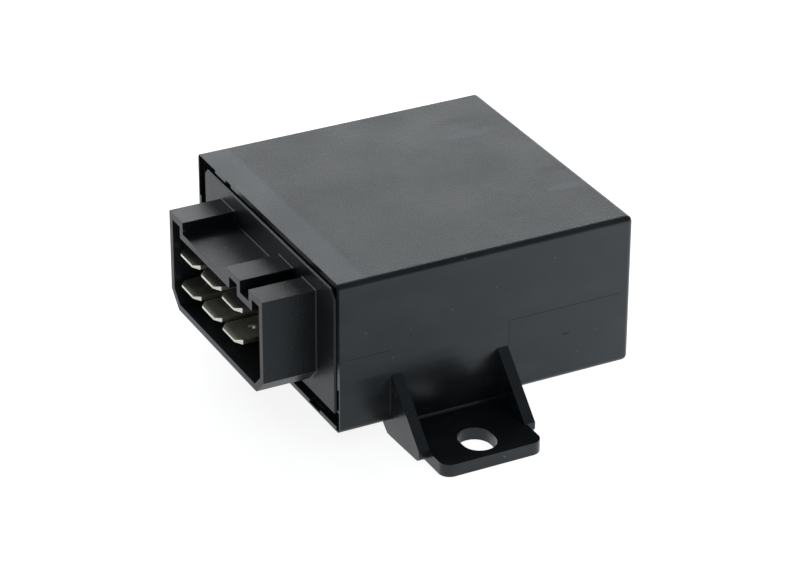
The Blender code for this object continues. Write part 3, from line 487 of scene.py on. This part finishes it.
def diode_colour(tree):
    """Black with a silver band near one end of each diode."""
    band = maths(tree, "MAXIMUM", *[inverse(tree, beyond(tree, "Y", y, 0.45)) for y in DIODE_BANDS])
    black = mottled(tree, (0.014, 0.014, 0.016), 0.15, 500)
    return blend(tree, band, black, (0.55, 0.55, 0.53))


def sleeve_colour(tree):
    """A dark blue sleeve with a pale stripe down its front."""
    x, y, radius = CAPACITOR
    front = inverse(tree, past(tree, "Y", y - radius * 0.75))
    middle = inverse(tree, beyond(tree, "X", x, 1.7))
    stripe = maths(tree, "MULTIPLY", front, middle)
    blue = mottled(tree, (0.010, 0.020, 0.075), 0.15, 500)
    return blend(tree, stripe, blue, (0.42, 0.45, 0.50))


# ---------------------------------------------------------------- meshes, in the case's frame


def piece(name, bm, material, body, sharp=35):
    """Turns a mesh in millimetres into a piece that rides on a body."""
    bmesh.ops.recalc_face_normals(bm, faces=bm.faces)
    bmesh.ops.transform(bm, matrix=Matrix.Translation(ORIGIN) @ Matrix.Scale(MM, 4), verts=bm.verts)
    mesh = bpy.data.meshes.new(name)
    bm.to_mesh(mesh)
    bm.free()
    mesh.shade_smooth()
    mesh.set_sharp_from_angle(angle=math.radians(sharp))
    mesh.materials.append(material)
    obj = bpy.data.objects.new(name, mesh)
    bpy.context.scene.collection.objects.link(obj)
    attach(obj, body)
    return obj


def add_rings(bm, rings, closed=False):
    """Joins rings of points into a skin, with both ends capped unless the rings close on themselves."""
    made = [[bm.verts.new(point) for point in ring] for ring in rings]
    pairs = list(zip(made, made[1:])) + ([(made[-1], made[0])] if closed else [])
    for a, b in pairs:
        for i in range(len(a)):
            j = (i + 1) % len(a)
            bm.faces.new((a[i], a[j], b[j], b[i]))
    if not closed:
        bm.faces.new(made[0])
        bm.faces.new(reversed(made[-1]))


def circle(radius, segments):
    turns = [math.tau * k / segments for k in range(segments)]
    return [(radius * math.cos(turn), radius * math.sin(turn)) for turn in turns]


def add_tube(bm, points, radius, sides=6):
    """A round wire with flat ends along a line of points."""
    points = [Vector(point) for point in points]
    rings = []
    side = None
    for i, point in enumerate(points):
        ahead = points[min(i + 1, len(points) - 1)] - points[max(i - 1, 0)]
        ahead.normalize()
        side = ahead.orthogonal() if side is None else side - ahead * side.dot(ahead)
        side.normalize()
        other = ahead.cross(side)
        rings.append([point + a * side + b * other for a, b in circle(radius, sides)])
    add_rings(bm, rings)


def add_stack(bm, centre, levels, longer=0.0, segments=20):
    """Round outlines stacked on a vertical axis, as radius and z. longer makes them ovals along X."""
    x, y = centre
    unit = circle(1.0, segments)
    add_rings(bm, [[(x + (longer + radius) * a, y + radius * b, z) for a, b in unit] for radius, z in levels])


def add_ribbon(bm, points, width, z0, z1):
    """A flat track with mitred bends."""
    points = [Vector(point) for point in points]
    sides = ([], [])
    for i, point in enumerate(points):
        before = (point - points[i - 1]).normalized() if i else None
        after = (points[i + 1] - point).normalized() if i + 1 < len(points) else None
        before, after = before or after, after or before
        ahead = (before + after).normalized()
        across = Vector((-ahead.y, ahead.x)) * (width / 2 / max(0.5, ahead.dot(after)))
        sides[0].append(point + across)
        sides[1].append(point - across)
    outline = sides[0] + sides[1][::-1]
    low = [bm.verts.new((*point, z0)) for point in outline]
    high = [bm.verts.new((*point, z1)) for point in outline]
    count = len(points)
    for i in range(count - 1):
        a, b, c, d = i, i + 1, 2 * count - 2 - i, 2 * count - 1 - i
        bm.faces.new([high[k] for k in (a, b, c, d)])
        bm.faces.new([low[k] for k in (d, c, b, a)])
    for i in range(2 * count):
        j = (i + 1) % (2 * count)
        bm.faces.new((low[i], low[j], high[j], high[i]))


# ---------------------------------------------------------------- CAD nodes


def finish_edges(obj, width, segments=2, angle=35):
    """Joins the loaded mesh's split faces and rounds its sharp edges, as modifiers."""
    weld = obj.modifiers.new("weld", "WELD")
    weld.merge_threshold = 2e-6
    flat = obj.modifiers.new("flat", "DECIMATE")
    flat.decimate_type = "DISSOLVE"
    flat.angle_limit = math.radians(0.5)
    bevel = obj.modifiers.new("bevel", "BEVEL")
    bevel.width = width * MM
    bevel.segments = segments
    bevel.limit_method = "ANGLE"
    bevel.angle_limit = math.radians(angle)
    weighted = obj.modifiers.new("weighted", "WEIGHTED_NORMAL")
    weighted.keep_sharp = False
    obj.data.shade_smooth()


def dress(nodes, material, edge=None, segments=2):
    for node in nodes.split():
        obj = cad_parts[node]
        obj.data.materials.clear()
        obj.data.materials.append(material)
        if edge:
            finish_edges(obj, edge, segments)


def dress_outside():
    dress("housing", case_plastic(), 0.18)
    dress("plug_base", plug_plastic(), 0.12)
    blades = " ".join(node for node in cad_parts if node.startswith("blade"))
    dress(blades, metal("tinned_brass", (0.58, 0.58, 0.52), 0.36), 0.1)


def dress_relay():
    iron = metal("magnet_iron", (0.56, 0.55, 0.52), 0.30, "X")
    dress("yoke core armature", iron, 0.1)
    dress("relay_base", moulded("relay_plastic", (0.012, 0.012, 0.013), 0.42), 0.1)
    dress("coil_bobbin", moulded("bobbin_plastic", (0.72, 0.68, 0.56), 0.40), 0.08)
    dress("coil_pin_1 coil_pin_2", metal("tinned_pin", (0.72, 0.72, 0.69), 0.28, "Z"), 0.08)
    dress("contact_spring", metal("spring_bronze", (0.62, 0.42, 0.22), 0.24), 0.04, 1)
    silver = metal("contact_silver", (0.80, 0.80, 0.78), 0.22)
    dress("moving_contact make_contact break_contact", silver, 0.06)
    dress("make_contact_arm break_contact_arm", metal("arm_brass", (0.70, 0.53, 0.24), 0.28), 0.08)


RESISTOR_BODY = (0.50, 0.36, 0.20)
BLACK, BROWN, RED = (0.01, 0.01, 0.01), (0.10, 0.035, 0.012), (0.45, 0.01, 0.01)
ORANGE, YELLOW, VIOLET, GOLD = (0.62, 0.14, 0.01), (0.65, 0.45, 0.02), (0.10, 0.03, 0.22), (0.42, 0.26, 0.07)
RESISTOR_CODES = {
    "timing_resistor": (YELLOW, VIOLET, ORANGE),
    "gate_resistor": (BROWN, BLACK, ORANGE),
    "supply_resistor": (RED, RED, BROWN),
}
RING_WIDTH = 0.07  # as a share of the body's length


def chip_leads(tree):
    return maths(tree, "MAXIMUM", below(tree, 6.15), beyond(tree, "Y", CHIP_Y, CHIP_HALF))


def diode_leads(tree):
    return maths(tree, "MULTIPLY", *[beyond(tree, "Y", y, DIODE_HALF) for y in DIODE_YS])


def resistor_leads(tree):
    return beyond(tree, "X", RESISTOR_X, RESISTOR_HALF + 0.01)


def dropper_leads(tree):
    return beyond(tree, "X", DROPPER_X, DROPPER_HALF)


def leads_below(z):
    return lambda tree: below(tree, z)


def dress_board():
    dress("circuit_board", board_green(), 0.06)
    epoxy = (0.017, 0.017, 0.019)
    dress("timer_chip", leaded("chip_epoxy", epoxy, 0.45, chip_leads), 0.06)
    dress("driver_transistor", leaded("chip_epoxy_upright", epoxy, 0.40, leads_below(7.0)), 0.08)
    dress("reverse_diode flyback_diode", leaded("chip_epoxy_banded", diode_colour, 0.30, diode_leads), 0.05)
    for node, code in RESISTOR_CODES.items():
        rings = [(0.16 + 0.15 * i, RING_WIDTH, ring) for i, ring in enumerate(code)]
        rings.append((0.80, RING_WIDTH, GOLD))
        lacquer = banded(RESISTOR_X, RESISTOR_HALF, RESISTOR_BODY, rings)
        dress(node, leaded("lacquer_" + node, lacquer, 0.32, resistor_leads, coat=0.4), 0.05)
    ceramic = leaded("resistor_ceramic", (0.34, 0.40, 0.36), 0.62, dropper_leads, grain=0.03)
    dress("dropper_resistor", ceramic, 0.05)
    dress("reservoir_capacitor", leaded("capacitor_sleeve", sleeve_colour, 0.28, leads_below(5.5)), 0.08)
    film = leaded("capacitor_film", (0.42, 0.030, 0.018), 0.24, leads_below(5.5), coat=0.3)
    dress("film_capacitor", film, 0.12)
    dipped = leaded("varistor_coat", (0.014, 0.075, 0.23), 0.38, leads_below(6.1), grain=0.05)
    dress("surge_varistor", dipped, 0.15)


# ---------------------------------------------------------------- outside details


def make_shroud_fillet():
    """The moulded radius where the shroud stands on the plate."""
    radius, sink, steps = 0.26, 0.2, 5
    section = [(-sink, -radius)]
    for i in range(steps + 1):
        turn = math.pi / 2 * i / steps
        section.append((radius - radius * math.cos(turn), -radius + radius * math.sin(turn)))
    section += [(radius, sink), (-sink, sink)]
    bm = bmesh.new()
    add_rings(bm, [[(x, y, z) for x, z in grown(SHROUD, out)] for out, y in section], closed=True)
    piece("shroud_fillet", bm, plug_plastic(), "insert")


def grown(outline, out):
    """The outline moved outwards by a distance, corners kept sharp. It runs anticlockwise in X and Z."""
    points = [Vector(point) for point in outline]
    moved = []
    for i, point in enumerate(points):
        before = (point - points[i - 1]).normalized()
        after = (points[(i + 1) % len(points)] - point).normalized()
        normal = (Vector((before.y, -before.x)) + Vector((after.y, -after.x))).normalized()
        moved.append(point + normal * out / normal.dot(Vector((after.y, -after.x))))
    return moved


# What the mould leaves on the wall above the foot: each ridge's ends in Y and Z, and its height.
# The last one is a short raised mark.
RIDGES = (
    ((1.0, 12.2), (8.4, 12.2), 0.035),
    ((29.2, 12.2), (48.4, 12.2), 0.042),
    ((8.35, 1.0), (8.35, 12.4), 0.045),
    ((28.8, 8.0), (28.8, 12.2), 0.04),
    ((38.3, 7.4), (39.4, 7.4), 0.08),
)
RIDGE_HALF, RIDGE_ROOT = 0.036, 0.06  # half its width, and how far it starts inside the wall


def make_witness_lines(material):
    """Fine steep ridges, each a strip with a gable's section and its root inside the wall."""
    bm = bmesh.new()
    inwards = Vector((RIDGE_ROOT, 0, 0))
    for start, end, height in RIDGES:
        ends = [Vector((CASE_HIGH.x, *point)) for point in (start, end)]
        across = (ends[1] - ends[0]).normalized().cross(Vector((1, 0, 0))) * RIDGE_HALF
        crest = Vector((height, 0, 0))
        add_rings(bm, [[
            centre - across - inwards, centre - across, centre + crest, centre + across,
            centre + across - inwards,
        ] for centre in ends])
    piece("mould_witness_lines", bm, material, "case")


def make_gate_mark(material):
    """The round gate on the back, with the broken stump in its middle."""
    x, z = 25.0, 12.5
    profile = ((1.3, -0.05), (1.3, 0.04), (1.15, 0.10), (0.75, 0.10), (0.65, 0.03), (0.4, 0.05), (0.2, 0.12))
    bm = bmesh.new()
    add_rings(bm, [
        [(x + a, CASE_HIGH.y + out, z + b) for a, b in circle(radius, 24)] for radius, out in profile
    ])
    piece("gate_mark", bm, material, "case")


# ---------------------------------------------------------------- inside details


def round_joints():
    """X, Y and the lead's rough radius, for each joint that isn't a stamped tail's."""
    joints = [(DROPPER_X + side * DROPPER_REACH, DROPPER_Y, 0.4) for side in (-1, 1)]
    joints += [(RESISTOR_X + side * AXIAL_REACH, y, 0.3) for y in RESISTOR_YS for side in (-1, 1)]
    joints += [(DIODE_X, y + side * AXIAL_REACH, 0.4) for y in DIODE_YS for side in (-1, 1)]
    pins = [(i - 1.5) * PIN_PITCH for i in range(4)]
    joints += [(CHIP_X + pin, CHIP_Y + side * pins[-1], 0.3) for side in (-1, 1) for pin in pins]
    joints += [(CAPACITOR[0] + side * 1.75, CAPACITOR[1], 0.3) for side in (-1, 1)]
    joints += [(39.6 + side * 2.5, 42.4, 0.3) for side in (-1, 1)]  # film capacitor
    joints += [(25.6, 24.6 + side * 2.5, 0.3) for side in (-1, 1)]  # varistor
    joints += [(25.6 + side * PIN_PITCH / 2, 33.6, 0.25) for side in (-1, 0, 1)]  # transistor
    joints += [(RELAY_X + side * COIL_PIN_REACH, COIL_PIN_Y, 0.5) for side in (-1, 1)]
    return joints


def flat_joints():
    """X, Y and half length along X of each stamped tail's joint."""
    joints = [(BLADE_X + BLADE_PITCH * i, y, 1.3) for y in (7.0, 11.6) for i in range(BLADE_COUNT)]
    joints += [(RELAY_X + side * 3.4, 15.5, 1.6) for side in (-1, 1)]  # the contact arms
    joints.append((RELAY_X, 39.35, 1.5))  # the yoke
    return joints


# Copper tracks: a width, then the points in X and Y
TRACKS_BELOW = (
    (2.6, (13.3, 7.0), (10.6, 9.7), (10.6, 15.5)),
    (2.6, (21.1, 7.0), (17.4, 10.7), (17.4, 15.5)),
    (1.6, (28.9, 7.0), (25.4, 10.5), (25.4, 16.0)),
    (1.2, (40.6, 16.0), (40.6, 22.1), (43.2, 24.7), (43.2, 27.1)),
    (1.0, (19.0, 23.0), (22.0, 26.0), (22.0, 31.27), (24.33, 33.6)),
    (1.2, (21.1, 11.6), (23.0, 13.5), (23.0, 19.5), (25.6, 22.1)),
    (1.2, (28.9, 11.6), (40.3, 11.6), (43.2, 14.5)),
    (1.0, (25.6, 27.1), (25.6, 33.6)),
    (0.8, (28.9, 36.2), (30.25, 37.55), (30.25, 42.3)),
    (0.8, (39.1, 36.2), (39.1, 39.4), (42.1, 42.4)),
    (0.7, (39.1, 30.6), (38.81, 27.81)),
    (0.7, (31.19, 27.81), (28.9, 30.6)),
    (0.7, (36.27, 27.81), (36.27, 32.0), (37.67, 33.4), (39.1, 33.4)),
    (1.6, (43.2, 37.3), (43.2, 45.2), (28.0, 45.2), (26.75, 43.9), (26.75, 42.3)),
    (1.2, (9.0, 23.0), (6.0, 26.0), (6.0, 43.4), (9.6, 45.2), (26.0, 45.2)),
)
TRACKS_ABOVE = (
    (2.6, (13.3, 11.6), (4.8, 20.1), (4.8, 36.0), (8.2, 39.35), (14.0, 39.35)),
    (1.4, (40.6, 16.0), (46.0, 21.4), (46.0, 38.5), (42.1, 42.4)),
    (1.0, (28.9, 30.6), (23.2, 36.3), (23.2, 40.5), (25.0, 42.3), (26.75, 42.3)),
    (0.7, (38.81, 20.19), (41.2, 22.6), (41.2, 34.1), (39.1, 36.2)),
    (0.7, (31.19, 20.19), (29.6, 21.8), (29.6, 26.5), (27.6, 28.5), (27.6, 32.1), (28.9, 33.4)),
)


def make_board_copper():
    material, tree, shader = new_material("board_track")
    colour = mottled(tree, (0.050, 0.200, 0.060), 0.12, 300)
    connect(tree, shader, colour, uneven(tree, 0.22, 0.30, 200), bump(tree, noise(tree, 900, 2), 0.01))
    bm = bmesh.new()
    sink, rise = 0.02, 0.035
    for tracks, z0, z1 in (
        (TRACKS_BELOW, BOARD_BOTTOM_Z - rise, BOARD_BOTTOM_Z + sink),
        (TRACKS_ABOVE, BOARD_TOP_Z - sink, BOARD_TOP_Z + rise),
    ):
        for width, *points in tracks:
            add_ribbon(bm, points, width, z0, z1)
    piece("board_tracks", bm, material, "insert")


# Solder as (radius past the lead's, distance from the board)
CONE = ((0.62, 0.0), (0.62, 0.05), (0.42, 0.08), (0.20, 0.30), (0.06, 0.60), (-0.02, 0.80))
COLLAR = ((0.50, 0.0), (0.50, 0.05), (0.25, 0.10), (0.05, 0.28))
TAIL_RADIUS = 0.4  # a stamped tail's, across it


def make_solder():
    """A pad and a cone of solder under the board and a low collar above it, at each lead."""
    joints = [(x, y, radius, 0.0) for x, y, radius in round_joints()]
    joints += [(x, y, TAIL_RADIUS, half - 0.2) for x, y, half in flat_joints()]
    bm = bmesh.new()
    for x, y, radius, longer in joints:
        add_stack(bm, (x, y), [(radius + out, BOARD_BOTTOM_Z - away) for out, away in CONE], longer)
        add_stack(bm, (x, y), [(radius + out, BOARD_TOP_Z + away) for out, away in COLLAR], longer)
    material, tree, shader = new_material("solder", metallic=1.0)
    colour = mottled(tree, (0.74, 0.74, 0.73), 0.08, 700, 2)
    connect(tree, shader, colour, uneven(tree, 0.18, 0.36, 500), bump(tree, noise(tree, 900, 2), 0.03))
    piece("solder_joints", bm, material, "insert", 60)


def lacquered_copper():
    material, tree, shader = new_material("copper_wire", metallic=1.0, coat=0.5)
    colour = mottled(tree, (0.60, 0.20, 0.075), 0.12, 420, 2)
    connect(tree, shader, colour, uneven(tree, 0.20, 0.32, 500), bump(tree, noise(tree, 1500, 2), 0.004))
    return material


def make_winding(copper):
    """The outer layer's turns, over a drum that stands for the layers below."""
    wire, pitch, steps = 0.16, 0.33, 36
    radius = WINDING_RADIUS - wire
    drum = radius - 0.08
    turns = (WINDING_HIGH_Z - WINDING_LOW_Z - 2 * wire) / pitch
    bm = bmesh.new()
    add_stack(bm, (RELAY_X, CORE_Y), ((drum, WINDING_LOW_Z), (drum, WINDING_HIGH_Z)), segments=36)
    points = []
    for i in range(int(turns * steps) + 1):
        turn = math.tau * i / steps
        z = WINDING_LOW_Z + wire + pitch * i / steps
        points.append((RELAY_X + radius * math.cos(turn), CORE_Y + radius * math.sin(turn), z))
    add_tube(bm, points, wire)
    winding = piece("winding_turns", bm, copper, "insert", 60)
    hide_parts("coil_winding")


def make_lead_wires(copper):
    """The winding's two ends, wrapped round the coil's pins."""
    wire, wraps, steps, reach, low, pitch = 0.11, 3, 12, 0.62, 10.35, 0.26
    bm = bmesh.new()
    for side in (-1, 1):
        x, y = RELAY_X + side * COIL_PIN_REACH, COIL_PIN_Y
        points = [
            (RELAY_X + side * 2.2, CORE_Y - 5.3, 9.85), (RELAY_X + side * 3.6, 24.5, 10.0),
            (x - side * 0.64, 23.5, 10.2),
        ]
        for i in range(wraps * steps + 1):
            turn = math.tau * i / steps
            out = (-side * reach * math.cos(turn), -reach * math.sin(turn))
            points.append((x + out[0], y + out[1], low + pitch * i / steps))
        add_tube(bm, points, wire)
    piece("coil_lead_wires", bm, copper, "insert", 60)


def make_rivets():
    """The two rivets that hold the contact leaf to the armature. They are placed from the hinge and tilt."""
    head_below = ((0.30, -0.34), (0.62, -0.24), (0.75, 0.0), (0.45, 0.02))
    head_above = ((0.45, 1.5), (0.80, 1.62), (0.80, 1.76), (0.68, 1.94), (0.40, 2.05), (0.12, 2.08))
    bm = bmesh.new()
    for side in (-1, 1):
        for head in (head_below, head_above):
            add_stack(bm, (side * 1.25, -3.4), head)
    turn = Matrix.Rotation(math.radians(REST_ANGLE), 4, "X")
    bmesh.ops.transform(bm, matrix=Matrix.Translation((RELAY_X, HINGE_Y, HINGE_Z)) @ turn, verts=bm.verts)
    steel = metal("rivet_steel", (0.66, 0.65, 0.62), 0.26, "Z")
    piece("leaf_rivets", bm, steel, "armature", 50)


def make_capacitor_vent():
    """The can's bare end, raised in four quarters with the vent's cross between them."""
    x, y, radius = CAPACITOR
    gap, reach, top, steps = 0.16, radius - 0.75, 17.0, 8
    edge = math.asin(gap / reach)
    bm = bmesh.new()
    for quarter in range(4):
        start = math.pi / 2 * quarter
        inner = start + math.pi / 4
        diagonal = gap * math.sqrt(2)
        outline = [(x + diagonal * math.cos(inner), y + diagonal * math.sin(inner))]
        for i in range(steps + 1):
            turn = start + edge + (math.pi / 2 - 2 * edge) * i / steps
            outline.append((x + reach * math.cos(turn), y + reach * math.sin(turn)))
        add_rings(bm, [[(*point, z) for point in outline] for z in (top - 0.05, top + 0.06)])
    can = metal("capacitor_can", (0.78, 0.78, 0.79), 0.30, "X")
    piece("capacitor_vent", bm, can, "insert")


def make_chip_marks():
    """The first pin's dot and a round mould mark on the chip's top."""
    bm = bmesh.new()
    for centre, radius, segments in (((31.5, 21.9), 0.45, 20), ((30.55, 24.0), 0.75, 24)):
        levels = [(radius, CHIP_TOP_Z - 0.02), (radius, CHIP_TOP_Z + 0.012)]
        add_stack(bm, centre, levels, segments=segments)
    piece("chip_marks", bm, moulded("chip_mark", (0.030, 0.030, 0.032), 0.25), "insert")


def make_details():
    case_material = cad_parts["housing"].data.materials[0]
    copper = lacquered_copper()
    make_shroud_fillet()
    make_witness_lines(case_material)
    make_gate_mark(case_material)
    make_board_copper()
    make_solder()
    make_winding(copper)
    make_lead_wires(copper)
    make_rivets()
    make_capacitor_vent()
    make_chip_marks()


make_camera()
make_studio()
dress_outside()
dress_relay()
dress_board()
make_details()
